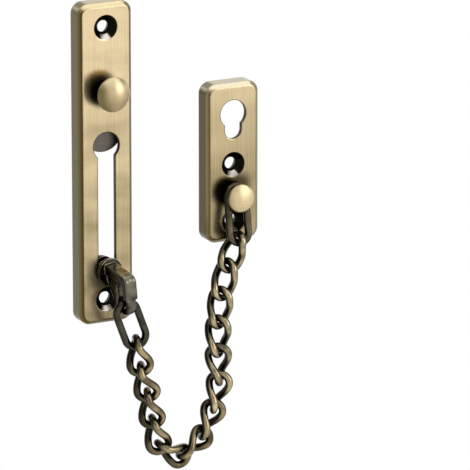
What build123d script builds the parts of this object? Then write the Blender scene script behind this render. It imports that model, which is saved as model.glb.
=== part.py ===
"""Door security chain: slide plate with release knob, slider, curb chain and keeper plate.

Frame: X to the right, front is -Y, Z up. The door plane is Y = 0 and the origin lies on it, midway between
the two screw holes of the slide plate. All sizes are in millimetres.
"""
import os
from math import cos, pi, radians, sin, sqrt

from build123d import *

# plate section, common to both plates
plate_w = 20.5
plate_d = 6.6
front_wall = 1.6
side_wall = 1.5
plate_corner = 4.0
bevel = 1.35

# slide plate
slide_h = 115.0
screw_z = 48.8
entry_z = 6.5
entry_r = 5.0
slot_w = 6.7
slot_end_z = -38.5
taper_z = 2.6
knob_z = 26.3
post_z = 40.3

# wood screw seats
screw_hole = 4.2
screw_sink = 9.0
throat_depth = 3.4
boss_d = 10.4
boss_bore = 7.0

# release knob and latch leaf
knob_neck = 7.0
knob_head = 12.4
knob_fit = 0.4
knob_under = 4.4
knob_flare = 1.3
knob_edge = 0.6
knob_dome = 3.1
knob_flange = 9.2
knob_flange_t = 0.9
knob_tip = 4.4
knob_play = 0.1
leaf_t = 0.8
leaf_w = 14.0
leaf_front = 3.3
leaf_tip_z = 3.6
leaf_tip_r = 8.0
leaf_top_z = 43.2
post_d = 3.4
post_head = 5.2
leaf_gap = 0.28

# slider
slider_yaw = 9.0
slider_swivel = 6.0
slider_head = 9.2
slider_head_t = 2.4
slider_neck = 5.8
slider_clear = 0.8
slider_collar = 9.8
slider_collar_t = 1.2
eye_w = 3.6
eye_round = 1.2
eye_hole_w = 4.4
eye_hole_h = 8.6
eye_hole_y = -7.2
eye_hole_z = 10.1
eye_rim = 2.6
eye_gap = 0.45
brow_w = 5.0
brow_low = -8.0
brow_round = 0.8

# chain
wire = 2.7
link_gap = 0.22
link_ease = [0.18, 0.19, 0.14, 0.05, 0.03, 0.11, 0.06, 0.06, 0.01, 0, 0, 0, 0.01, 0.03]
curb_len = 13.29
curb_r = 3.9
curb_pinch = 0.14
curb_arcs = 8
first_len = 17.3
first_r = 4.0
last_r = 3.6
last_span = 13.0
last_tilt = 11.0
chain_tilt = 1.45

# heading of every link from straight down, keeper to slider, and its spin about its own length
last_heading = -1.0
curb_headings = [-23, -14.2, -6.5, -0.6, 1.8, -14.6, -27.5, -56.3, -124.3, -165.4, -168.4, -164.6, -171.1]
curb_spins = [86, 74, 62, 51, 32, 28, 16, 8, -2, -14, -24, -29, -17]
first_heading = -159.2

# keeper plate, heights measured from the stud
keeper_h = 57.5
keeper_top = 40.3
keyhole_up = 29.2
keyhole_r = 5.0
keyhole_slot = 6.5
keyhole_low = 23.4
keeper_screw_up = 10.9
keeper_screw_down = -9.7
stud_neck = 4.2
stud_neck_len = 5.1
stud_head = 10.0
stud_edge = 1.3
stud_dome = 1.4
stud_tail = 6.6
stud_tail_t = 1.2
stud_break = 0.3


def travel(heading, tilt):
    """Unit direction of a link that leans by heading in the XZ plane and by tilt towards the front."""
    a, b = radians(heading), radians(tilt)
    return Vector(sin(a) * cos(b), -sin(b), -cos(a) * cos(b))


def across(heading):
    """Direction across a link in the XZ plane."""
    a = radians(heading)
    return Vector(cos(a), 0, sin(a))


def cap_middle(radius, base, top):
    """Middle point of a dome's outline from its rim at base to its crown at top on the axis."""
    rise = abs(top - base)
    ball = (radius**2 + rise**2) / (2 * rise)
    sag = ball - sqrt(ball**2 - radius**2 / 4)
    return (radius / 2, top + sag if top < base else top - sag)


def link_plane(apex, heading, tilt, spin=0.0):
    """Plane at a link's first apex, its normal along the link."""
    x, z = across(heading), travel(heading, tilt)
    turned = x * cos(radians(spin)) + z.cross(x) * sin(radians(spin))
    return Plane(origin=apex, x_dir=turned, z_dir=z)


# slider frame: origin on the stud axis in the middle of the front wall, z outwards, y up
wall_mid = plate_d - front_wall / 2
yaw, turn = radians(slider_yaw), radians(slider_swivel)
side = Vector(cos(yaw), sin(yaw), 0)
slider_plane = Plane(
    origin=(0, -wall_mid, slot_end_z),
    x_dir=side * cos(turn) + Vector(0, 0, 1) * sin(turn),
    z_dir=Vector(sin(yaw), -cos(yaw), 0),
)
rim_y = eye_hole_y - eye_hole_h / 2 - eye_rim / 2
rim_centre = slider_plane.from_local_coords(Vector(0, rim_y, eye_hole_z))

# places of all links, from the slider back to the keeper; the crossings next to the keeper sit looser
seats = [wire + link_gap + ease for ease in link_ease]
first_end = rim_centre + travel(first_heading, chain_tilt) * (eye_rim / 2 + eye_gap + wire / 2)
first_apex = first_end - travel(first_heading, chain_tilt) * first_len
curb_apexes = []
curb_ends = []
child_apex, child_dir = first_apex, travel(first_heading, chain_tilt)
for i in range(len(curb_headings) - 1, -1, -1):
    way = travel(curb_headings[i], chain_tilt)
    end = child_apex + child_dir * seats[i + 1]
    child_apex, child_dir = end - way * curb_len, way
    curb_apexes.insert(0, child_apex)
    curb_ends.insert(0, end)
last_dir = travel(last_heading, last_tilt)
last_end = child_apex + last_dir * seats[0]
stud_point = last_end - last_dir * (last_r + last_span)
keeper_x, keeper_z = stud_point.X, stud_point.Z
keeper_off = -stud_point.Y - plate_d


def curb_point(share):
    """Point on the centre line of one leg of a twisted link, share 0 at the first apex and 1 at the other."""
    bend = pi * curb_r / 2
    straight = curb_len - 2 * curb_r
    s = (2 * bend + straight) * share
    if s < bend:
        w, r = curb_r * (1 - cos(s / curb_r)), curb_r * sin(s / curb_r)
    elif s <= bend + straight:
        w, r = curb_r + s - bend, curb_r
    else:
        a = (2 * bend + straight - s) / curb_r
        w, r = curb_len - curb_r * (1 - cos(a)), curb_r * sin(a)
    f = w / curb_len
    u = min(max((f - 0.06) / 0.88, 0.0), 1.0)
    twist = radians(-90 * u**3 * (10 - 15 * u + 6 * u * u))
    r *= 1 - curb_pinch * sin(pi * f) ** 2
    return Vector(r * cos(twist), r * sin(twist), w)


def arc_join(p1, t1, p2, t2):
    """Point where two arcs of equal reach meet, one leaving p1 along t1 and one reaching p2 along t2."""
    v, t = p2 - p1, t1 + t2
    turn_share = 2 * (1 - t1.dot(t2))
    if turn_share < 1e-9:
        reach = v.dot(v) / (4 * v.dot(t2))
    else:
        reach = (sqrt(v.dot(t) ** 2 + turn_share * v.dot(v)) - v.dot(t)) / turn_share
    return (p1 + p2 + (t1 - t2) * reach) * 0.5


def shell(width, height, centre):
    """Bevelled plate with an open back, its rim on the door plane."""
    with BuildPart() as body:
        with BuildSketch(Plane.XZ) as outline:
            with Locations(centre):
                RectangleRounded(width, height, plate_corner)
        extrude(amount=plate_d)
        chamfer(body.faces().sort_by(Axis.Y)[0].edges(), length=bevel)
        with BuildSketch(Plane.XZ) as cavity:
            with Locations(centre):
                RectangleRounded(width - 2 * side_wall, height - 2 * side_wall, plate_corner - side_wall)
        extrude(amount=plate_d - front_wall, mode=Mode.SUBTRACT)
    return body.part


def bosses(places):
    """Round bosses behind the front wall at the given places."""
    with BuildPart() as body:
        with BuildSketch(Plane.XZ):
            with Locations(*places):
                Circle(boss_d / 2)
        extrude(amount=plate_d - front_wall / 2)
    return body.part


def screw_bores(places):
    """Countersink, throat and rear counterbore of a wood screw at each place."""
    sink_depth = (screw_sink - screw_hole) / 2
    with BuildPart() as body:
        with BuildSketch(Plane.XZ):
            with Locations(*places):
                Circle(screw_hole / 2)
        extrude(amount=plate_d)
        with BuildSketch(Plane.XZ):
            with Locations(*places):
                Circle(boss_bore / 2)
        extrude(amount=plate_d - throat_depth)
        for x, z in places:
            seat_mid = (x, -plate_d + sink_depth / 2, z)
            with Locations(Plane(origin=seat_mid, x_dir=(1, 0, 0), z_dir=(0, -1, 0))):
                Cone(screw_hole / 2, screw_sink / 2, sink_depth)
    return body.part


with BuildPart() as slide_plate:
    add(shell(plate_w, slide_h, (0, 0)))
    add(bosses([(0, screw_z), (0, -screw_z)]))
    add(screw_bores([(0, screw_z), (0, -screw_z)]), mode=Mode.SUBTRACT)
    with BuildSketch(Plane.XZ) as keyhole:
        with Locations((0, entry_z)):
            Circle(entry_r)
        with BuildLine():
            Polyline(
                (-entry_r, entry_z), (entry_r, entry_z), (slot_w / 2, taper_z), (slot_w / 2, slot_end_z),
                (-slot_w / 2, slot_end_z), (-slot_w / 2, taper_z), close=True,
            )
        make_face()
        with Locations((0, slot_end_z)):
            Circle(slot_w / 2)
        with Locations((0, knob_z)):
            Circle((knob_neck + knob_fit) / 2)
    extrude(amount=plate_d, mode=Mode.SUBTRACT)
    # peened post that carries the leaf: shoulder, shank and head
    with BuildSketch(Plane.XZ.offset(leaf_front + leaf_gap)):
        with Locations((0, post_z)):
            Circle(post_head / 2)
    extrude(amount=plate_d - front_wall / 2 - leaf_front - leaf_gap)
    with BuildSketch(Plane.XZ.offset(leaf_front - leaf_t - leaf_gap)):
        with Locations((0, post_z)):
            Circle(post_d / 2)
    extrude(amount=leaf_t + 3 * leaf_gap)
    with BuildSketch(Plane.XZ.offset(leaf_front - leaf_t - leaf_gap - 0.8)):
        with Locations((0, post_z)):
            Circle(post_head / 2)
    extrude(amount=0.8)
slide_plate.part.label = "slide_plate"

with BuildPart() as keeper_plate:
    add(shell(plate_w, keeper_h, (keeper_x, keeper_z + keeper_top - keeper_h / 2)))
    keeper_screws = [(keeper_x, keeper_z + keeper_screw_up), (keeper_x, keeper_z + keeper_screw_down)]
    add(bosses(keeper_screws))
    add(screw_bores(keeper_screws), mode=Mode.SUBTRACT)
    with BuildSketch(Plane.XZ) as parking:
        with Locations((keeper_x, keeper_z + keyhole_up)):
            Circle(keyhole_r)
        with Locations((keeper_x, keeper_z + keyhole_low)):
            Circle(keyhole_slot / 2)
        with Locations((keeper_x, keeper_z + (keyhole_up + keyhole_low) / 2)):
            Rectangle(keyhole_slot, keyhole_up - keyhole_low)
        with Locations((keeper_x, keeper_z)):
            Circle(stud_neck / 2)
    extrude(amount=plate_d, mode=Mode.SUBTRACT)
keeper_plate.part.label = "keeper_plate"

with BuildPart() as turned_stud:
    tail = front_wall + stud_tail_t
    rim = stud_neck_len + stud_edge
    crown = rim + stud_dome
    with BuildSketch(Plane.XY) as half:
        with BuildLine():
            Polyline(
                (0, tail), (stud_tail / 2 - stud_break, tail), (stud_tail / 2, tail - stud_break),
                (stud_tail / 2, front_wall), (stud_neck / 2, front_wall), (stud_neck / 2, -stud_neck_len),
                (stud_head / 2 - stud_break, -stud_neck_len), (stud_head / 2, -stud_neck_len - stud_break),
                (stud_head / 2, -rim),
            )
            ThreePointArc((stud_head / 2, -rim), cap_middle(stud_head / 2, -rim, -crown), (0, -crown))
            Line((0, -crown), (0, tail))
        make_face()
    revolve(axis=Axis.Y)
with BuildPart() as keeper_stud:
    add(turned_stud.part.moved(Location((keeper_x, -plate_d, keeper_z))))
keeper_stud.part.label = "keeper_stud"

with BuildPart() as turned_knob:
    flange = front_wall + knob_play
    back = flange + knob_flange_t
    nose = plate_d - leaf_front - knob_play
    lip = knob_under + knob_flare
    rim = lip + knob_edge
    crown = rim + knob_dome
    with BuildSketch(Plane.XY) as half:
        with BuildLine():
            Polyline(
                (knob_neck / 2, -knob_under), (knob_neck / 2, flange), (knob_flange / 2, flange),
                (knob_flange / 2, back), (knob_tip / 2, back),
            )
            ThreePointArc((knob_tip / 2, back), cap_middle(knob_tip / 2, back, nose), (0, nose))
            Line((0, nose), (0, -crown))
            ThreePointArc((0, -crown), cap_middle(knob_head / 2, -rim, -crown), (knob_head / 2, -rim))
            Line((knob_head / 2, -rim), (knob_head / 2, -lip))
            flare = ((knob_head + knob_neck) / 4, -knob_under - 0.4 * knob_flare)
            ThreePointArc((knob_head / 2, -lip), flare, (knob_neck / 2, -knob_under))
        make_face()
    revolve(axis=Axis.Y)
with BuildPart() as release_knob:
    add(turned_knob.part.moved(Location((0, -plate_d, knob_z))))
release_knob.part.label = "release_knob"

with BuildPart() as latch_leaf:
    with BuildSketch(Plane.XZ.offset(leaf_front - leaf_t)) as blade:
        with Locations((0, (leaf_top_z + leaf_tip_z) / 2)):
            RectangleRounded(leaf_w, leaf_top_z - leaf_tip_z, 2.0)
        with BuildSketch(mode=Mode.INTERSECT):
            with Locations((0, leaf_tip_z + leaf_tip_r)):
                Circle(leaf_tip_r)
            with Locations((0, leaf_tip_z + leaf_tip_r + 25)):
                Rectangle(2 * leaf_tip_r, 50)
        with Locations((0, post_z)):
            Circle(post_d / 2 + leaf_gap, mode=Mode.SUBTRACT)
    extrude(amount=leaf_t)
latch_leaf.part.label = "latch_leaf"

with BuildPart() as slider:
    profile = Plane(origin=slider_plane.origin, x_dir=slider_plane.z_dir, z_dir=slider_plane.x_dir * -1)
    front = eye_hole_z + eye_hole_w / 2 + eye_rim
    neck_end = front_wall / 2 + slider_clear
    collar_end = neck_end + slider_collar_t
    root = Vector(collar_end - 0.4, -3.4)
    hub = Vector(eye_hole_z, eye_hole_y - (eye_hole_h - eye_hole_w) / 2)
    reach = eye_hole_w / 2 + eye_rim
    away = (root - hub).normalized()
    lean = reach / (root - hub).length
    touch = hub + away * (reach * lean) + away.rotate(Axis.Z, 90) * (reach * sqrt(1 - lean**2))
    with BuildSketch(profile) as eye:
        with BuildLine():
            Line(root, touch)
            TangentArc(touch, hub + Vector(reach, 0), tangent=touch - root)
            Line(hub + Vector(reach, 0), (front, -1.2))
            TangentArc((front, -1.2), (front - 2.3, 1.2), tangent=(0, 1))
            Polyline((front - 2.3, 1.2), (root.X, 3.3), root)
        make_face()
        with Locations(Location((eye_hole_z, eye_hole_y), 90)):
            SlotOverall(eye_hole_h, eye_hole_w, mode=Mode.SUBTRACT)
    extrude(amount=eye_w / 2, both=True)
    rims = [
        e for e in slider.edges()
        if abs(slider_plane.to_local_coords(e.center()).X) > eye_w / 2 - 0.01
        and slider_plane.to_local_coords(e.center()).Z > collar_end
    ]
    fillet(rims, eye_round)
    with BuildPart() as brow:
        inner = front - eye_rim + 0.1
        with BuildSketch(profile):
            with BuildLine():
                Line((root.X, 3.3), (front - 2.3, 1.2))
                TangentArc((front - 2.3, 1.2), (front, -1.2), tangent=(1, -0.2))
                Polyline((front, -1.2), (front, brow_low), (inner, brow_low), (inner, -1.9), (root.X, -0.6))
                Line((root.X, -0.6), (root.X, 3.3))
            make_face()
        extrude(amount=brow_w / 2, both=True)
        bars = [e for e in brow.edges() if slider_plane.to_local_coords(e.center()).Z > root.X + 0.1]
        fillet(bars, brow_round)
    add(brow.part)
    with Locations(slider_plane.offset(neck_end + slider_collar_t / 2)):
        Cylinder(slider_collar / 2, slider_collar_t)
    with Locations(slider_plane):
        Cylinder(slider_neck / 2, 2 * neck_end + 0.2)
    with Locations(slider_plane.offset(-neck_end - slider_head_t / 2)):
        Cylinder(slider_head / 2, slider_head_t)
slider.part.label = "slider"

# twisted link: each leg is a run of tangent arcs, and the two tubes are closed into one solid
knots = [curb_point(i / curb_arcs) for i in range(curb_arcs + 1)]
slopes = [
    (curb_point(min(i / curb_arcs + 1e-4, 1)) - curb_point(max(i / curb_arcs - 1e-4, 0))).normalized()
    for i in range(curb_arcs + 1)
]
slopes[0], slopes[-1] = Vector(1, 0, 0), Vector(0, 1, 0)
tubes = []
for half_turn in (0, 180):
    spots = [k.rotate(Axis.Z, half_turn) for k in knots]
    ways = [t.rotate(Axis.Z, half_turn) for t in slopes]
    with BuildPart() as leg:
        with BuildLine() as run:
            for i in range(curb_arcs):
                middle = arc_join(spots[i], ways[i], spots[i + 1], ways[i + 1])
                out = TangentArc(spots[i], middle, tangent=ways[i])
                TangentArc(middle, spots[i + 1], tangent=out % 1)
        with BuildSketch(Plane(origin=spots[0], z_dir=ways[0])):
            Circle(wire / 2)
        sweep(path=run.wire())
    tubes += [f for f in leg.part.faces() if f.geom_type != GeomType.PLANE]
with BuildPart() as curb_link:
    add(Solid(Shell(Face.sew_faces(tubes)[0])))


def oblong(plane, radius, span):
    """Planar link with round ends, swept along its own centre line."""
    with BuildPart() as ring:
        local = Plane(origin=plane.origin, x_dir=plane.x_dir, z_dir=plane.y_dir)
        with BuildLine(local) as loop:
            a = ThreePointArc((radius, -radius), (0, 0), (-radius, -radius))
            b = Line((-radius, -radius), (-radius, -radius - span))
            c = ThreePointArc((-radius, -radius - span), (0, -2 * radius - span), (radius, -radius - span))
            d = Line((radius, -radius - span), (radius, -radius))
        with BuildSketch(Plane(origin=a @ 0, z_dir=a % 0)):
            Circle(wire / 2)
        sweep(path=loop.wire())
    return ring.part


chain = []
first_plane = link_plane(first_apex, first_heading, chain_tilt)
with BuildPart() as chain_link_01:
    add(oblong(first_plane, first_r, first_len - 2 * first_r))
chain.append(chain_link_01)
for i in range(len(curb_headings) - 1, -1, -1):
    place = link_plane(curb_apexes[i], curb_headings[i], chain_tilt, curb_spins[i])
    with BuildPart() as twisted:
        add(curb_link.part.moved(place.location))
    chain.append(twisted)
last_apex = stud_point - last_dir * last_r
with BuildPart() as chain_link_15:
    add(oblong(link_plane(last_apex, last_heading, last_tilt), last_r, last_span))
chain.append(chain_link_15)

os.makedirs("parts", exist_ok=True)
export_step(slide_plate.part, "parts/slide_plate.step")
export_step(keeper_plate.part, "parts/keeper_plate.step")
export_step(keeper_stud.part, "parts/keeper_stud.step")
export_step(release_knob.part, "parts/release_knob.step")
export_step(latch_leaf.part, "parts/latch_leaf.step")
export_step(slider.part, "parts/slider.step")
for number, link in enumerate(chain, 1):
    link.part.label = f"chain_link_{number:02d}"
    export_step(link.part, f"parts/chain_link_{number:02d}.step")
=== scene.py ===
"""Looks of a door security chain: relieved antique brass, blackened links and a steel latch leaf."""

from __future__ import annotations

import logging
from dataclasses import dataclass, field, replace
from enum import Enum
from typing import Any

import bpy
import numpy as np
from mathutils import Matrix, Vector

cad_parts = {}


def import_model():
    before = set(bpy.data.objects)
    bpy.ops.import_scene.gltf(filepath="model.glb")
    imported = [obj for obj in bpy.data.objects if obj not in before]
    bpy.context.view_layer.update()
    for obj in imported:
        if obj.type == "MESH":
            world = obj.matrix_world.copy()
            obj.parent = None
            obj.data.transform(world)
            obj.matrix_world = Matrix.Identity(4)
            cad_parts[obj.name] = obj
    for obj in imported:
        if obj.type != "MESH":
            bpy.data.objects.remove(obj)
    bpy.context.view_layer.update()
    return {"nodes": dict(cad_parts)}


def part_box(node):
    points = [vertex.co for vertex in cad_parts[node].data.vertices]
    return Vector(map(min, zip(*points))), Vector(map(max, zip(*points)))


MM = 0.001
IMAGE_SIDE = 470
SENSOR_MM = 36.0
BEVEL_SAMPLES = 8
NO_CORNER = (0.0, 0.0, 0.0)
# nearly all values of a noise texture lie between these two
NOISE_SPAN = (0.3, 0.7)
# finer layers of the noise that draws lines, and of the one that draws patches
LINE_DETAIL = 3.0
PATCH_DETAIL = 2.0

log = logging.getLogger("door_chain")


class Brushing(Enum):
    """Way in which the relief brush was led over a piece: along Z or along X.

    The value is the tangent across the scratch lines. Its two small parts keep it from lying along
    the normal of a side wall.
    """

    LENGTHWISE = (1.0, 0.03, 0.05)
    CROSSWISE = (0.05, 0.03, 1.0)


def linear(hex_colour: str) -> tuple[float, float, float, float]:
    """Turns an sRGB hex colour into linear RGBA.

    Args:
        hex_colour: Colour as "#RRGGBB".

    Returns:
        Linear red, green, blue and an alpha of one.
    """
    srgb = np.array([int(hex_colour[i:i + 2], 16) for i in (1, 3, 5)]) / 255.0
    rgb = np.where(srgb <= 0.04045, srgb / 12.92, ((srgb + 0.055) / 1.055) ** 2.4)
    return (float(rgb[0]), float(rgb[1]), float(rgb[2]), 1.0)


def add_node(tree: bpy.types.NodeTree, kind: str, inputs: dict[Any, Any] | None = None,
             **settings: Any) -> bpy.types.Node:
    """Adds a node, sets its properties and fills or links its inputs.

    Args:
        tree: Node tree that gets the node.
        kind: Blender's node type.
        inputs: Input name or index to a value, to the output socket that feeds it, or to a node
            whose first output in use feeds it. A name means the input in use of that name.
        **settings: Properties of the node.

    Returns:
        The new node.
    """
    node = tree.nodes.new(kind)
    for name, value in settings.items():
        setattr(node, name, value)
    used = {socket.name: socket for socket in reversed(node.inputs) if socket.enabled}
    for key, value in (inputs or {}).items():
        socket = node.inputs[key] if isinstance(key, int) else used[key]
        if isinstance(value, bpy.types.Node):
            value = next(output for output in value.outputs if output.enabled)
        if isinstance(value, bpy.types.NodeSocket):
            tree.links.new(value, socket)
        else:
            socket.default_value = value
    return node


def new_material(name: str) -> tuple[bpy.types.Material, bpy.types.NodeTree]:
    """Makes an empty node material.

    Args:
        name: Name of the finish.

    Returns:
        The material and its node tree.
    """
    material = bpy.data.materials.new(name)
    material.use_nodes = True
    material.node_tree.nodes.clear()
    return material, material.node_tree


@dataclass(frozen=True)
class Surface:
    """What a finish reads from the surface that it lies on.

    Attributes:
        tree: Node tree of the finish.
        place: Object coordinates.
        xyz: Their parts by name.
        normal: Normal of the faces.
        facing: Its parts by name. The front looks along -Y.
    """

    tree: bpy.types.NodeTree
    place: bpy.types.NodeSocket
    xyz: bpy.types.NodeOutputs
    normal: bpy.types.NodeSocket
    facing: bpy.types.NodeOutputs

    @classmethod
    def read(cls, tree: bpy.types.NodeTree) -> Surface:
        """Adds the nodes that give these values.

        Args:
            tree: Node tree of the finish.

        Returns:
            The surface as that tree reads it.
        """
        place = add_node(tree, "ShaderNodeTexCoord").outputs["Object"]
        normal = add_node(tree, "ShaderNodeNewGeometry").outputs["Normal"]
        xyz, facing = (add_node(tree, "ShaderNodeSeparateXYZ", {0: vector}).outputs
                       for vector in (place, normal))
        return cls(tree, place, xyz, normal, facing)


@dataclass(frozen=True)
class PaintedShadeSpot:
    """A round patch of painted shade on a plate's front, where a fitting's shadow and dark reflection
    fall, in millimetres.

    Attributes:
        x: X of its middle.
        z: Z of its middle.
        full: Radius within which the tone is whole.
        reach: Radius at which it has faded.
        share: Strength in its middle, from zero to one.
    """

    x: float
    z: float
    full: float = 3.6
    reach: float = 7.0
    share: float = 0.97


@dataclass(frozen=True)
class RelievedBrass:
    """Cast brass toned nearly black in a bath, then brushed back where the brush could reach.

    To the eye the flat front is light, with fine scratch lines that smear its reflections across
    them, and its upper end is painted lighter as light from above. The bevels keep a brown film,
    darkest next to the front, the walls an olive one, and the holes stay nearly black. Edges that
    look up get a painted highlight, the screw seats are painted black as a dark reflection with a
    painted glint, and shade is painted round the fittings, under a head and on a head's left.
    Each turn below is the Y of the normal where a tone begins and where it is whole, and each
    rise is the Z of the normal for the same.

    Attributes:
        name: Name of the finish, to which the piece's own is added.
        low: Lowest corner of the piece in metres, filled in for each piece.
        high: Highest corner of the piece in metres, filled in for each piece.
        brushing: Way of the scratch lines.
        seats: Axes of the screw seats as X and Z, in millimetres.
        left: Patches of painted shade round a knob, a stud or the slider, where their shadow and dark
            reflection fall.
        painted_shade_depth_mm: Depth behind the front past which everything is painted black as shade,
            as on the neck under a knob's or stud's head.
        painted_shade_edge_mm: Half the depth over which that painted shade sets in.
        turn: Turn of the film.
        painted_shade_lean: Weight of the normal's X in that turn, so that one side of a head is
            painted darker, as shade.
        wall_turn: Turn of the walls' tone.
        painted_top_light_rise: Rise of the painted highlight on edges that look up.
        inside_turn: Turn of the dark inside of a shell and of its slot and holes.
        inside_share: Share of the black tone there.
        inside_mm: Half the width that counts as inside, just into the side walls; zero for a head.
        wall_mm: Height at the top and at the foot that doesn't count as inside.
        sunk_mm: Depth behind the front from which a screw seat counts as sunk.
        seat_mm: Radius of a screw seat.
        throat_mm: Radius round its hole that is painted black, as a dark reflection.
        glint_rise: Z of the normal on a seat's lower side where the painted glint begins and where it
            is whole.
        painted_light_fade: Shares of the height at which the front's painted light from above is least
            and whole.
        painted_light_weight: Weight of that painted light in the front's tone.
        scratch_weight: Weight of the scratch lines in it.
        bands: Weight of the soft bands across the scratch lines in it.
        tone_span: Sums of these at which the front is at its darkest and at its lightest.
        light: Front at its lightest.
        shade: Front at its darkest.
        film: Film next to the front.
        film_edge: Film next to the walls.
        wall: Walls.
        painted_top_light: Painted highlight on edges that look up.
        recess_and_painted_shade: Black tone of the inside and of slot and holes, and painted shade and
            dark reflection.
        seat_glint: Painted glint on the lower side of the screw seats.
        roughness: Roughness of the brushed metal.
        rough_spread: What furrows add to it and ridges take from it.
        film_rough: What the black tone and painted shade add to it.
        anisotropy: How far the scratch lines smear reflections.
        soft_mm: Reach over which cast edges are rounded off.
        bevel_mm: Depth of the bevel.
        scratch_mm: Width of a scratch line.
        scratch_run_mm: Length of a scratch line.
        scratch_keep: Strength of each finer layer of lines, as a share of the one before.
        furrow_mm: Depth of a scratch line.
        furrow_strength: Strength of that depth in the shading.
        band_mm: Height of a soft band.
        band_ratio: Width of a band for each unit of its height.
        band_keep: Strength of each finer layer of bands, as a share of the one before.
    """

    name: str = "relieved antique brass"
    low: tuple[float, float, float] = NO_CORNER
    high: tuple[float, float, float] = NO_CORNER
    brushing: Brushing = Brushing.LENGTHWISE
    seats: tuple[tuple[float, float], ...] = ()
    left: tuple[PaintedShadeSpot, ...] = ()
    painted_shade_depth_mm: float = 50.0
    painted_shade_edge_mm: float = 0.2
    turn: tuple[float, float] = (-0.99, -0.85)
    painted_shade_lean: float = 0.0
    wall_turn: tuple[float, float] = (-0.55, -0.15)
    painted_top_light_rise: tuple[float, float] = (0.25, 0.7)
    inside_turn: tuple[float, float] = (-0.5, -0.3)
    inside_share: float = 0.78
    inside_mm: float = 8.85
    wall_mm: float = 1.55
    sunk_mm: float = 0.05
    seat_mm: float = 4.55
    throat_mm: float = 2.75
    glint_rise: tuple[float, float] = (0.6, 0.67)
    painted_light_fade: tuple[float, float] = (0.0, 1.0)
    painted_light_weight: float = 0.55
    scratch_weight: float = 0.4
    bands: float = 1.0
    tone_span: tuple[float, float] = (0.08, 0.8)
    light: str = "#F0DAAE"
    shade: str = "#9E8E69"
    film: str = "#3E2D14"
    film_edge: str = "#7E7049"
    wall: str = "#5F5A44"
    painted_top_light: str = "#C3B490"
    recess_and_painted_shade: str = "#14120D"
    seat_glint: str = "#BDB9B0"
    roughness: float = 0.24
    rough_spread: float = 0.05
    film_rough: float = 0.08
    anisotropy: float = 0.6
    soft_mm: float = 0.9
    bevel_mm: float = 1.35
    # real scratch lines are finer than this; they are drawn as coarse as they need to be to show
    scratch_mm: float = 0.28
    scratch_run_mm: float = 24.0
    scratch_keep: float = 0.6
    furrow_mm: float = 0.03
    furrow_strength: float = 0.2
    band_mm: float = 9.0
    band_ratio: float = 3.0
    band_keep: float = 0.5

    def build(self) -> bpy.types.Material:
        """Makes the material.

        Returns:
            The finished node material.
        """
        material, tree = new_material(self.name)
        surface = Surface.read(tree)
        rounded = add_node(tree, "ShaderNodeBevel", {"Radius": self.soft_mm * MM},
                           samples=BEVEL_SAMPLES)
        front, scratches = self.brushed_front(surface)
        colour = self.toned_edges(surface, front, rounded)
        black_and_painted_shade, seats = self.hollows_and_painted_shade(surface)
        # the screw seats get the painted glint, then the black tone with painted shade and painted
        # dark reflection goes over it
        for share, tone in ((seats, self.seat_glint), (black_and_painted_shade, self.recess_and_painted_shade)):
            colour = add_node(tree, "ShaderNodeMix", {
                "Factor": share, "A": colour, "B": linear(tone)}, data_type="RGBA")
        bump = add_node(tree, "ShaderNodeBump", {
            "Height": scratches, "Strength": self.furrow_strength,
            "Distance": self.furrow_mm * MM, "Normal": rounded})
        # brushed metal is a little rougher in the furrows, and the unbrushed black film and painted
        # shade more so
        rough = add_node(tree, "ShaderNodeMapRange", {
            "Value": scratches, "From Min": NOISE_SPAN[0], "From Max": NOISE_SPAN[1],
            "To Min": self.roughness + self.rough_spread,
            "To Max": self.roughness - self.rough_spread})
        rough = add_node(tree, "ShaderNodeMath", {0: black_and_painted_shade, 1: self.film_rough, 2: rough},
                         operation="MULTIPLY_ADD")
        across = add_node(tree, "ShaderNodeCombineXYZ", dict(enumerate(self.brushing.value)))
        principled = add_node(tree, "ShaderNodeBsdfPrincipled", {
            "Base Color": colour, "Metallic": 1.0, "Roughness": rough,
            "Anisotropic": self.anisotropy, "Tangent": across, "Normal": bump})
        add_node(tree, "ShaderNodeOutputMaterial", {"Surface": principled})
        return material

    def brushed_front(self, surface: Surface) -> tuple[bpy.types.Node, bpy.types.Node]:
        """Colours the brushed front: scratch lines, soft bands across them and an upper end painted
        lighter, as light from above.

        Args:
            surface: Surface of the piece.

        Returns:
            The nodes of the colour and of the height of the scratch lines.
        """
        tree = surface.tree
        fine, run, band = (1 / (size * MM) for size in (
            self.scratch_mm, self.scratch_run_mm, self.band_mm))
        grain = (fine, fine, run) if self.brushing is Brushing.LENGTHWISE else (run, fine, fine)
        wide = band / self.band_ratio
        noises = []
        for scale, detail, keep in ((grain, LINE_DETAIL, self.scratch_keep),
                                    ((wide, wide, band), PATCH_DETAIL, self.band_keep)):
            stretched = add_node(tree, "ShaderNodeMapping", {"Vector": surface.place, "Scale": scale})
            noises.append(add_node(tree, "ShaderNodeTexNoise", {
                "Vector": stretched, "Scale": 1.0, "Detail": detail, "Roughness": keep}))
        # painted light: the front is painted lighter towards its upper end, as light from above
        dull, bright = (self.low[2] + share * (self.high[2] - self.low[2]) for share in self.painted_light_fade)
        tone = add_node(tree, "ShaderNodeMapRange", {
            "Value": surface.xyz["Z"], "From Min": dull, "From Max": bright,
            "To Max": self.painted_light_weight})
        for noise, weight in zip(noises, (self.scratch_weight, self.bands)):
            tone = add_node(tree, "ShaderNodeMath", {0: noise, 1: weight, 2: tone},
                            operation="MULTIPLY_ADD")
        darkest, lightest = (bound + self.bands / 2 for bound in self.tone_span)
        tone = add_node(tree, "ShaderNodeMapRange", {
            "Value": tone, "From Min": darkest, "From Max": lightest})
        front = add_node(tree, "ShaderNodeMix", {
            "Factor": tone, "A": linear(self.shade), "B": linear(self.light)}, data_type="RGBA")
        return front, noises[0]

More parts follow.
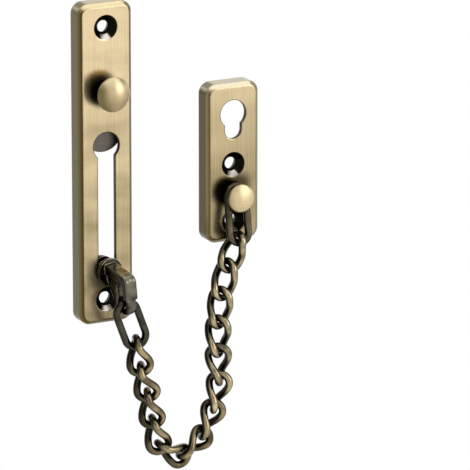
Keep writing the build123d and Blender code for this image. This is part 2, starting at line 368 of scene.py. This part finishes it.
    def toned_edges(self, surface: Surface, front: bpy.types.Node,
                    rounded: bpy.types.Node) -> bpy.types.Node:
        """Lays the film on the bevels and walls, and paints a highlight on those that look up, as
        light from above.

        Args:
            surface: Surface of the piece.
            front: Node of the brushed front's colour.
            rounded: Node of the normal with its edges rounded off.

        Returns:
            The node of the colour with its edges.
        """
        tree = surface.tree
        soft = add_node(tree, "ShaderNodeSeparateXYZ", {0: rounded}).outputs
        depth = add_node(tree, "ShaderNodeMapRange", {
            "Value": surface.xyz["Y"], "From Min": self.low[1],
            "From Max": self.low[1] + self.bevel_mm * MM})
        film = add_node(tree, "ShaderNodeMix", {
            "Factor": depth, "A": linear(self.film), "B": linear(self.film_edge)}, data_type="RGBA")
        # painted shade: tilting by the normal's X paints one side of a head darker
        shade_leaned = add_node(tree, "ShaderNodeMath", {0: soft["X"], 1: self.painted_shade_lean, 2: soft["Y"]},
                          operation="MULTIPLY_ADD")
        colour = front
        # the last tone is a painted highlight on edges that look up
        for value, (start, whole), tone in (
                (shade_leaned, self.turn, film),
                (soft["Y"], self.wall_turn, linear(self.wall)),
                (soft["Z"], self.painted_top_light_rise, linear(self.painted_top_light))):
            share = add_node(tree, "ShaderNodeMapRange", {
                "Value": value, "From Min": start, "From Max": whole},
                interpolation_type="SMOOTHSTEP")
            colour = add_node(tree, "ShaderNodeMix", {"Factor": share, "A": colour, "B": tone},
                              data_type="RGBA")
        return colour

    def hollows_and_painted_shade(self, surface: Surface) -> tuple[bpy.types.Node, bpy.types.Node | float]:
        """Finds the black tone of the inside and of slot and holes, and where shade and dark
        reflection are painted: in the screw seats, round the fittings and behind a head.

        Args:
            surface: Surface of the piece.

        Returns:
            Share of the black tone with painted shade, and share of the screw seats, which get a
            painted glint where not black.
        """
        tree = surface.tree
        xyz = surface.xyz
        # painted shade: past this depth behind the front, as on the neck under a head, everything is
        # painted black
        behind = self.low[1] + self.painted_shade_depth_mm * MM
        dark = add_node(tree, "ShaderNodeMapRange", {
            "Value": xyz["Y"], "From Min": behind - self.painted_shade_edge_mm * MM,
            "From Max": behind + self.painted_shade_edge_mm * MM})
        # the inside and the walls of slot and holes look away from the front, within the outer walls
        middle = ((self.low[0] + self.high[0]) / 2, 0.0, (self.low[2] + self.high[2]) / 2)
        off = add_node(tree, "ShaderNodeVectorMath", {0: surface.place, 1: middle},
                       operation="SUBTRACT")
        off = add_node(tree, "ShaderNodeVectorMath", {0: off}, operation="ABSOLUTE")
        off = add_node(tree, "ShaderNodeSeparateXYZ", {0: off})
        inside = add_node(tree, "ShaderNodeMapRange", {
            "Value": surface.facing["Y"], "From Min": self.inside_turn[0],
            "From Max": self.inside_turn[1], "To Max": self.inside_share})
        half_height = (self.high[2] - self.low[2]) / 2
        for part, half in (("X", self.inside_mm * MM), ("Z", half_height - self.wall_mm * MM)):
            within = add_node(tree, "ShaderNodeMath", {0: off.outputs[part], 1: half},
                              operation="LESS_THAN")
            inside = add_node(tree, "ShaderNodeMath", {0: inside, 1: within}, operation="MULTIPLY")
        dark = add_node(tree, "ShaderNodeMath", {0: dark, 1: inside}, operation="MAXIMUM")
        flat = add_node(tree, "ShaderNodeCombineXYZ", {"X": xyz["X"], "Z": xyz["Z"]})
        # painted shade: dark patches where the shadow and dark reflection of the knob, stud and slider
        # fall
        for spot in self.left:
            away = add_node(tree, "ShaderNodeVectorMath", {
                0: flat, 1: (spot.x * MM, 0.0, spot.z * MM)}, operation="DISTANCE")
            tone = add_node(tree, "ShaderNodeMapRange", {
                "Value": away, "From Min": spot.full * MM, "From Max": spot.reach * MM,
                "To Min": spot.share, "To Max": 0.0}, interpolation_type="SMOOTHSTEP")
            dark = add_node(tree, "ShaderNodeMath", {0: dark, 1: tone}, operation="MAXIMUM")
        sunk = add_node(tree, "ShaderNodeMath", {0: xyz["Y"], 1: self.low[1] + self.sunk_mm * MM},
                        operation="GREATER_THAN")
        # the outer part of a seat's lower side looks up and gets a painted glint; the rest of the seat
        # is painted black as a dark reflection
        outside_glint = add_node(tree, "ShaderNodeMapRange", {
            "Value": surface.facing["Z"], "From Min": self.glint_rise[0],
            "From Max": self.glint_rise[1], "To Min": 1.0, "To Max": 0.0})
        seats: bpy.types.Node | float = 0.0
        for x, z in self.seats:
            away = add_node(tree, "ShaderNodeVectorMath", {0: flat, 1: (x * MM, 0.0, z * MM)},
                            operation="DISTANCE")
            seat, throat = (add_node(tree, "ShaderNodeMath", {0: away, 1: radius * MM},
                                     operation="LESS_THAN")
                            for radius in (self.seat_mm, self.throat_mm))
            seat = add_node(tree, "ShaderNodeMath", {0: seat, 1: sunk}, operation="MULTIPLY")
            seats = add_node(tree, "ShaderNodeMath", {0: seats, 1: seat}, operation="MAXIMUM")
            black = add_node(tree, "ShaderNodeMath", {0: throat, 1: outside_glint}, operation="MAXIMUM")
            black = add_node(tree, "ShaderNodeMath", {0: seat, 1: black}, operation="MULTIPLY")
            dark = add_node(tree, "ShaderNodeMath", {0: dark, 1: black}, operation="MAXIMUM")
        return dark, seats


# knob and stud: brushed across, duller than the plates, with more film on their left that is painted
# shade
TURNED_HEAD = RelievedBrass(brushing=Brushing.CROSSWISE, turn=(-0.82, -0.3), painted_shade_lean=-0.7, inside_mm=0.0,
                            roughness=0.42, anisotropy=0.7)


@dataclass(frozen=True)
class BlackenedBrass:
    """Brass wire and castings blackened in a bath and tumbled, as on the chain and the slider.

    To the eye the strands that lie in front, where they look to the front or up, are a smooth tan,
    partly worn by tumbling and partly painted highlight, and strands further back are painted darker
    as shade. The rest stays black and glossy.

    Attributes:
        name: Name of the finish.
        near: Y of the piece's front in metres, filled in for each piece.
        far: Y of its back in metres, filled in for each piece.
        shares: How far sides that look to the front and sides that look up take the tan tone, from 0
            to 1.
        rise: Shares of the way from back to front at which the tan tone begins and is whole; strands
            further back are painted darker as shade.
        least: Share of the tan tone that is left at the back.
        painted_shade_lean: Weight of the normal's X in how far a side looks to the front, so that one
            side of a strand is painted darker, as shade.
        front_turn: Y of the tilted normal where a front's tan tone begins and where it is whole.
        top_rise: Z of the normal where a top's painted highlight begins and where it is whole.
        edge_mm: Reach of the worn edges and their painted highlight, zero for round wire.
        edge_bend: Cosine between a face and its rounded edge where that edge tone begins and is whole.
        dark: Black of the bath.
        rubbed_and_painted_light: Tan of the sides that are worn and painted with highlight.
        edge: Edges, worn and painted with a highlight.
        roughness: Roughness between the patches.
        rough_span: What the darkest and the lightest patches add to it.
        patch_mm: Size of the patches that are worn more or less.
        patch_span: Values of their noise at which they are worn least and most.
        patch_least: Share of the wear where they are rubbed least.
        grain_mm: Size of the fine pits.
        pit_mm: Depth of the fine pits.
        pit_strength: Strength of that depth in the shading.
    """

    name: str
    near: float = 0.0
    far: float = 0.0
    shares: tuple[float, float] = (1.0, 0.8)
    rise: tuple[float, float] = (0.0, 1.0)
    least: float = 0.12
    painted_shade_lean: float = 0.2
    front_turn: tuple[float, float] = (-0.5, -1.05)
    top_rise: tuple[float, float] = (0.5, 1.0)
    edge_mm: float = 0.0
    edge_bend: tuple[float, float] = (0.99, 0.85)
    dark: str = "#22201A"
    rubbed_and_painted_light: str = "#B2A078"
    edge: str = "#E2DAC4"
    roughness: float = 0.2
    rough_span: tuple[float, float] = (-0.05, 0.06)
    patch_mm: float = 6.0
    patch_span: tuple[float, float] = (0.36, 0.62)
    patch_least: float = 0.3
    grain_mm: float = 0.5
    pit_mm: float = 0.04
    pit_strength: float = 0.1

    def build(self) -> bpy.types.Material:
        """Makes the material.

        Returns:
            The finished node material.
        """
        material, tree = new_material(self.name)
        surface = Surface.read(tree)
        patches, grain = (add_node(tree, "ShaderNodeTexNoise", {
            "Vector": surface.place, "Scale": 1 / (size * MM), "Detail": PATCH_DETAIL})
            for size in (self.patch_mm, self.grain_mm))
        # painted shade: strands further back keep less of the tan tone
        start, whole = (self.far + share * (self.near - self.far) for share in self.rise)
        stand = add_node(tree, "ShaderNodeMapRange", {
            "Value": surface.xyz["Y"], "From Min": start, "From Max": whole, "To Min": self.least},
            interpolation_type="SMOOTHSTEP")
        # painted shade: tilting by the normal's X paints one side of each strand darker
        shade_leaned = add_node(tree, "ShaderNodeMath", {
            0: surface.facing["X"], 1: self.painted_shade_lean, 2: surface.facing["Y"]}, operation="MULTIPLY_ADD")
        front = add_node(tree, "ShaderNodeMapRange", {
            "Value": shade_leaned, "From Min": self.front_turn[0], "From Max": self.front_turn[1],
            "To Max": self.shares[0]}, interpolation_type="SMOOTHSTEP")
        top = add_node(tree, "ShaderNodeMapRange", {
            "Value": surface.facing["Z"], "From Min": self.top_rise[0], "From Max": self.top_rise[1],
            "To Max": self.shares[1]}, interpolation_type="SMOOTHSTEP")
        worn = add_node(tree, "ShaderNodeMapRange", {
            "Value": patches, "From Min": self.patch_span[0], "From Max": self.patch_span[1],
            "To Min": self.patch_least})
        # tan tone where sides look to the front or up: partly worn, partly painted highlight
        wear_and_painted_light = add_node(tree, "ShaderNodeMath", {0: front, 1: top}, operation="MAXIMUM")
        for share in (worn, stand):
            wear_and_painted_light = add_node(tree, "ShaderNodeMath", {0: wear_and_painted_light, 1: share}, operation="MULTIPLY")
        colour = add_node(tree, "ShaderNodeMix", {
            "Factor": wear_and_painted_light, "A": linear(self.dark), "B": linear(self.rubbed_and_painted_light)}, data_type="RGBA")
        if self.edge_mm:
            # an edge is where the normal averaged over this reach leaves the surface's own
            rounded = add_node(tree, "ShaderNodeBevel", {"Radius": self.edge_mm * MM},
                               samples=BEVEL_SAMPLES)
            agree = add_node(tree, "ShaderNodeVectorMath", {0: rounded, 1: surface.normal},
                             operation="DOT_PRODUCT")
            sharp = add_node(tree, "ShaderNodeMapRange", {
                "Value": agree, "From Min": self.edge_bend[0], "From Max": self.edge_bend[1]})
            sharp = add_node(tree, "ShaderNodeMath", {0: sharp, 1: worn}, operation="MULTIPLY")
            # worn edges with a painted highlight along them
            colour = add_node(tree, "ShaderNodeMix", {
                "Factor": sharp, "A": colour, "B": linear(self.edge)}, data_type="RGBA")
        bump = add_node(tree, "ShaderNodeBump", {
            "Height": grain, "Strength": self.pit_strength, "Distance": self.pit_mm * MM})
        rough = add_node(tree, "ShaderNodeMapRange", {
            "Value": patches, "From Min": NOISE_SPAN[0], "From Max": NOISE_SPAN[1],
            "To Min": self.roughness + self.rough_span[0],
            "To Max": self.roughness + self.rough_span[1]})
        principled = add_node(tree, "ShaderNodeBsdfPrincipled", {
            "Base Color": colour, "Metallic": 1.0, "Roughness": rough, "Normal": bump})
        add_node(tree, "ShaderNodeOutputMaterial", {"Surface": principled})
        return material


@dataclass(frozen=True)
class SpringSteel:
    """Cold-rolled spring strip, which to the eye is grey-brown and dull, with faint roll lines.

    Attributes:
        name: Name of the finish.
        grey: Steel on the ridges of the roll lines.
        stain: Steel in their furrows.
        roughness: Roughness between the two.
        rough_spread: What the ridges add to it and the furrows take from it.
        line_mm: Width of a roll line.
        line_ratio: Length of a roll line for each unit of its width.
        furrow_mm: Depth of a roll line.
        furrow_strength: Strength of that depth in the shading.
    """

    name: str = "cold-rolled spring steel"
    grey: str = "#76716A"
    stain: str = "#625D56"
    roughness: float = 0.4
    rough_spread: float = 0.06
    line_mm: float = 0.9
    line_ratio: float = 12.0
    furrow_mm: float = 0.03
    furrow_strength: float = 0.1

    def build(self) -> bpy.types.Material:
        """Makes the material.

        Returns:
            The finished node material.
        """
        material, tree = new_material(self.name)
        place = add_node(tree, "ShaderNodeTexCoord").outputs["Object"]
        across = 1 / (self.line_mm * MM)
        stretched = add_node(tree, "ShaderNodeMapping", {
            "Vector": place, "Scale": (across, across, across / self.line_ratio)})
        lines = add_node(tree, "ShaderNodeTexNoise", {
            "Vector": stretched, "Scale": 1.0, "Detail": LINE_DETAIL})
        colour = add_node(tree, "ShaderNodeMix", {
            "Factor": lines, "A": linear(self.stain), "B": linear(self.grey)}, data_type="RGBA")
        bump = add_node(tree, "ShaderNodeBump", {
            "Height": lines, "Strength": self.furrow_strength, "Distance": self.furrow_mm * MM})
        rough = add_node(tree, "ShaderNodeMapRange", {
            "Value": lines, "From Min": NOISE_SPAN[0], "From Max": NOISE_SPAN[1],
            "To Min": self.roughness - self.rough_spread,
            "To Max": self.roughness + self.rough_spread})
        principled = add_node(tree, "ShaderNodeBsdfPrincipled", {
            "Base Color": colour, "Metallic": 1.0, "Roughness": rough, "Normal": bump})
        add_node(tree, "ShaderNodeOutputMaterial", {"Surface": principled})
        return material


def titled(finish: str, piece: str) -> str:
    """Names the finish of one piece.

    Args:
        finish: Name of the finish.
        piece: Name of the piece.

    Returns:
        Both in plain words.
    """
    return f"{finish}, {piece.replace('_', ' ')}"


def dress(node: bpy.types.Object, material: bpy.types.Material) -> None:
    """Gives a piece its one material.

    Args:
        node: Piece to dress.
        material: Its finish.
    """
    node.data.materials.clear()
    node.data.materials.append(material)
    log.info("%s wears %s", node.name, material.name)


@dataclass
class Plates:
    """The slide plate and the keeper plate, with the knob and the stud that share their finish.

    Attributes:
        nodes: CAD nodes by name.
        finishes: Finish of each piece by its name.
    """

    nodes: dict[str, bpy.types.Object]
    finishes: dict[str, RelievedBrass] = field(default_factory=lambda: {
        "slide_plate": RelievedBrass(
            seats=((0.0, 48.8), (0.0, -48.8)), painted_light_fade=(-0.05, 0.95),
            # painted shade round the knob and the slider
            left=(PaintedShadeSpot(-1.6, 26.0), PaintedShadeSpot(-2.0, -39.5, full=3.0, reach=8.0, share=0.6)),
            film="#34260F", film_edge="#776A44", wall="#605A3E"),
        "keeper_plate": RelievedBrass(
            seats=((49.28, -6.15), (49.28, -26.75)), painted_light_fade=(0.4, 1.15),
            # painted shade round the stud and its link
            left=(PaintedShadeSpot(46.5, -15.7), PaintedShadeSpot(51.5, -14.0, full=2.0, reach=6.5, share=0.8),
                  PaintedShadeSpot(53.0, -26.5, full=1.5, reach=4.5)),
            film="#55462A", film_edge="#94865E", wall="#48401F", painted_top_light="#C6BCA2", bands=0.4),
        "release_knob": replace(TURNED_HEAD, painted_shade_depth_mm=4.6),
        "keeper_stud": replace(TURNED_HEAD, painted_shade_depth_mm=2.6, painted_light_fade=(-0.6, 0.7)),
    })

    def dress(self) -> None:
        """Gives both plates and their fittings the relieved brass."""
        for name, finish in self.finishes.items():
            low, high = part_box(name)
            fitted = replace(finish, name=titled(finish.name, name), low=tuple(low), high=tuple(high))
            dress(self.nodes[name], fitted.build())


@dataclass
class ChainRun:
    """The slider and every link of the chain.

    Attributes:
        nodes: CAD nodes by name.
        finishes: Finishes of the slider, of the link in its eye and of the link on the stud.
        twisted: Finish of the links between them.
        hung_from: First link of the run up to the keeper.
        hung_painted_key_light: Tan of that run, painted brighter as the key lamp's light on it.
    """

    nodes: dict[str, bpy.types.Object]
    finishes: dict[str, BlackenedBrass] = field(default_factory=lambda: {
        "slider": BlackenedBrass(
            "blackened brass casting, slider", shares=(0.55, 1.0), edge_mm=0.5, rubbed_and_painted_light="#A09A86",
            roughness=0.16, patch_mm=4.0),
        "chain_link_01": BlackenedBrass(
            "blackened brass wire, eye link", shares=(0.75, 0.7), rubbed_and_painted_light="#5B584B", roughness=0.14),
        # the stud link's top arc gets a painted highlight
        "chain_link_15": BlackenedBrass(
            "blackened brass wire, stud link", shares=(0.28, 1.0), rubbed_and_painted_light="#C6B48B"),
    })
    twisted: BlackenedBrass = BlackenedBrass("blackened and tumbled brass wire", rise=(0.35, 0.9))
    hung_from: str = "chain_link_09"
    hung_painted_key_light: str = "#DCCA9F"

    def dress(self) -> None:
        """Gives the links tumbled black brass, and the slider and the link in its eye a greyer one."""
        for name in sorted(self.nodes):
            if name in self.finishes:
                finish = self.finishes[name]
            elif name.startswith("chain_link"):
                # the run up to the keeper is painted brighter, as the key lamp's light
                rubbed_and_painted_light = self.hung_painted_key_light if name >= self.hung_from else self.twisted.rubbed_and_painted_light
                finish = replace(self.twisted, name=titled(self.twisted.name, name), rubbed_and_painted_light=rubbed_and_painted_light)
            else:
                continue
            near, far = (float(corner[1]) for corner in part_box(name))
            dress(self.nodes[name], replace(finish, near=near, far=far).build())


@dataclass(frozen=True)
class Lamp:
    """A soft rectangular lamp.

    Attributes:
        name: Its name.
        place: Its middle, in metres.
        size: Its width and height, in metres.
        watts: Its power.
    """

    name: str
    place: tuple[float, float, float]
    size: tuple[float, float]
    watts: float


@dataclass
class Studio:
    """White floor that bends up all round as its own backdrop, and soft lamps. Lengths are in metres.

    Attributes:
        floor_z: Height of the floor.
        flat: Radius of the flat middle, wider than the camera's distance.
        reach: Half the side of the sheet.
        bend: Rise per square metre past the flat middle.
        grid: Points along each side of the sheet.
        paper: Colour of the sheet where it lights the object.
        backdrop: Colour of the sheet to the camera and in reflections.
        air: Colour of the world.
        air_strength: Strength of the world.
        aim: Point that every lamp looks at.
        lamps: The lamps.
    """

    floor_z: float = -0.17
    flat: float = 2.2
    reach: float = 3.0
    bend: float = 1.5
    grid: int = 73
    paper: str = "#F2F2F0"
    backdrop: str = "#FFFFFF"
    air: str = "#B8B8B8"
    air_strength: float = 0.9
    aim: tuple[float, float, float] = (0.02, 0.0, -0.02)
    lamps: tuple[Lamp, ...] = (
        Lamp("key", place=(0.75, -0.75, 0.45), size=(0.8, 0.8), watts=4.2),
        Lamp("top", place=(0.10, -0.25, 0.90), size=(1.4, 1.0), watts=6.0),
    )

    def sweep(self) -> None:
        """Builds the floor as one sheet that bends up all round.

        Its height over X and Y is the floor's, plus the bend times the square of the distance past
        the flat middle.
        """
        side = np.linspace(-self.reach, self.reach, self.grid)
        x, y = np.meshgrid(side, side, indexing="ij")
        past = np.maximum(0.0, np.hypot(x, y) - self.flat)
        points = np.stack((x, y, self.floor_z + self.bend * past ** 2), axis=-1).reshape(-1, 3)
        index = np.arange(points.shape[0]).reshape(side.size, side.size)
        corners = (index[:-1, :-1], index[1:, :-1], index[1:, 1:], index[:-1, 1:])
        faces = np.stack(corners, axis=-1).reshape(-1, 4)
        mesh = bpy.data.meshes.new("studio_sweep")
        mesh.from_pydata(points.tolist(), [], faces.tolist())
        mesh.polygons.foreach_set("use_smooth", np.ones(len(mesh.polygons), dtype=bool))
        sweep = bpy.data.objects.new("studio_sweep", mesh)
        bpy.context.scene.collection.objects.link(sweep)
        mesh.materials.append(self.white_paper())

    def white_paper(self) -> bpy.types.Material:
        """Makes matt paper that is plain white to the camera and in reflections.

        Returns:
            The finished node material.
        """
        material, tree = new_material("white studio paper")
        rays = add_node(tree, "ShaderNodeLightPath").outputs
        seen = rays["Is Camera Ray"]
        for kind in ("Is Glossy Ray", "Is Transmission Ray"):
            seen = add_node(tree, "ShaderNodeMath", {0: seen, 1: rays[kind]}, operation="MAXIMUM")
        matt = add_node(tree, "ShaderNodeBsdfDiffuse", {"Color": linear(self.paper)})
        white = add_node(tree, "ShaderNodeEmission", {"Color": linear(self.backdrop), "Strength": 1.0})
        shown = add_node(tree, "ShaderNodeMixShader", {0: seen, 1: matt, 2: white})
        add_node(tree, "ShaderNodeOutputMaterial", {"Surface": shown})
        return material

    def light(self) -> None:
        """Hangs the soft lamps and sets a grey world."""
        world = bpy.data.worlds.new("studio_air")
        bpy.context.scene.world = world
        world.use_nodes = True
        background = world.node_tree.nodes["Background"]
        background.inputs["Color"].default_value = linear(self.air)
        background.inputs["Strength"].default_value = self.air_strength
        for lamp in self.lamps:
            data = bpy.data.lights.new(lamp.name, "AREA")
            data.shape = "RECTANGLE"
            data.size, data.size_y = lamp.size
            data.energy = lamp.watts
            holder = bpy.data.objects.new(lamp.name, data)
            holder.location = lamp.place
            way = Vector(self.aim) - Vector(lamp.place)
            holder.rotation_euler = way.to_track_quat("-Z", "Y").to_euler()
            bpy.context.scene.collection.objects.link(holder)


@dataclass
class PhotoCamera:
    """Camera at the photograph's angle, set from where the part's origin falls in the picture.

    Attributes:
        azimuth: Degrees round the upright axis from straight in front, less than zero to the left.
        elevation: Degrees above the level.
        focal_px: Focal length in pixels.
        px_per_mm: Scale of the picture at the origin.
        origin_px: Column and row of the origin in the picture.
        clip: Nearest and furthest distance that is drawn, in metres.
    """

    azimuth: float = -27.0
    elevation: float = 16.0
    focal_px: float = 5500.0
    px_per_mm: float = 2.874
    origin_px: tuple[float, float] = (98.4, 159.75)
    clip: tuple[float, float] = (0.01, 20.0)

    def place(self) -> None:
        """Creates the camera, aimed at the middle of the picture in the plane of the origin."""
        a, e = np.radians((self.azimuth, self.elevation))
        right = np.array([np.cos(a), np.sin(a), 0.0])
        up = np.array([-np.sin(e) * np.sin(a), np.sin(e) * np.cos(a), np.cos(e)])
        back = np.cross(right, up)
        column, row = (IMAGE_SIDE / 2 - place for place in self.origin_px)
        target = (right * column - up * row) / self.px_per_mm * MM
        eye = target + back * self.focal_px / self.px_per_mm * MM
        data = bpy.data.cameras.new("photo_camera")
        data.sensor_fit = "HORIZONTAL"
        data.sensor_width = SENSOR_MM
        data.lens = SENSOR_MM * self.focal_px / IMAGE_SIDE
        data.clip_start, data.clip_end = self.clip
        camera = bpy.data.objects.new("photo_camera", data)
        turn = Matrix((tuple(right), tuple(up), tuple(back))).transposed()
        camera.matrix_world = Matrix.Translation(Vector(eye)) @ turn.to_4x4()
        bpy.context.scene.collection.objects.link(camera)
        bpy.context.scene.camera = camera


def main() -> None:
    """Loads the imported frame, dresses it and sets the studio."""
    logging.basicConfig(level=logging.INFO, format="%(message)s")
    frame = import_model()
    nodes = frame["nodes"]
    bpy.context.scene.view_settings.view_transform = "Standard"
    Plates(nodes).dress()
    ChainRun(nodes).dress()
    dress(nodes["latch_leaf"], SpringSteel().build())
    studio = Studio()
    studio.sweep()
    studio.light()
    PhotoCamera().place()


if __name__ == "__main__":
    main()
